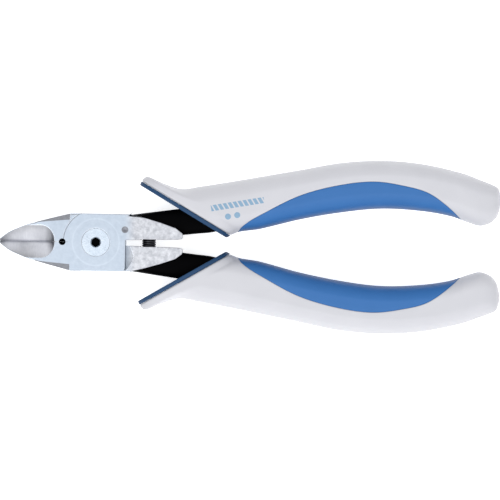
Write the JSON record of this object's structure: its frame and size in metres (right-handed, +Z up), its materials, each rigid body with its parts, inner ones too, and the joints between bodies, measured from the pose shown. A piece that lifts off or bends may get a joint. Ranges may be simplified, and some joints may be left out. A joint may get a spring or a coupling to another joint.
{
  "type": "diagonal cutting pliers",
  "caption": "Lap-joint diagonal cutting pliers with spear-shaped jaws, a coil return spring and flared two-colour grips with soft belly pads.",
  "frame": {"origin": "centre of the tool's outline, on the surface that the grips rest on", "axes": "+X from the jaws to the butts of the handles, +Y towards the front half's grip, +Z up from the surface, along the pivot"},
  "size_m": [0.15, 0.0518, 0.014],
  "materials": {
    "ground_steel": "ground and satin polished, black oxide on the handle roots",
    "screw_steel": "turned and polished",
    "spring_steel": "dark drawn wire",
    "blue_sleeve": "satin moulded",
    "white_shell": "satin moulded",
    "blue_pad": "matt soft elastomer"
  },
  "bodies": {
    "front": {"front_half": "ground_steel", "pivot_screw": "screw_steel", "pivot_nut": "screw_steel", "return_spring": "spring_steel", "front_grip_sleeve": "blue_sleeve", "front_grip_shell": "white_shell", "front_grip_pad": "blue_pad"},
    "rear": {"rear_half": "ground_steel", "rear_grip_sleeve": "blue_sleeve", "rear_grip_shell": "white_shell", "rear_grip_pad": "blue_pad"}
  },
  "joints": [
    {"name": "pivot", "type": "hinge", "parent": "front", "child": "rear", "pos_m": [-0.04605, 0, 0.007], "axis": [0, 0, -1], "range_deg": [0, 20], "stiffness_Nm_per_rad": 0.57, "springref_deg": 20, "deforming": ["return_spring"]}
  ]
}
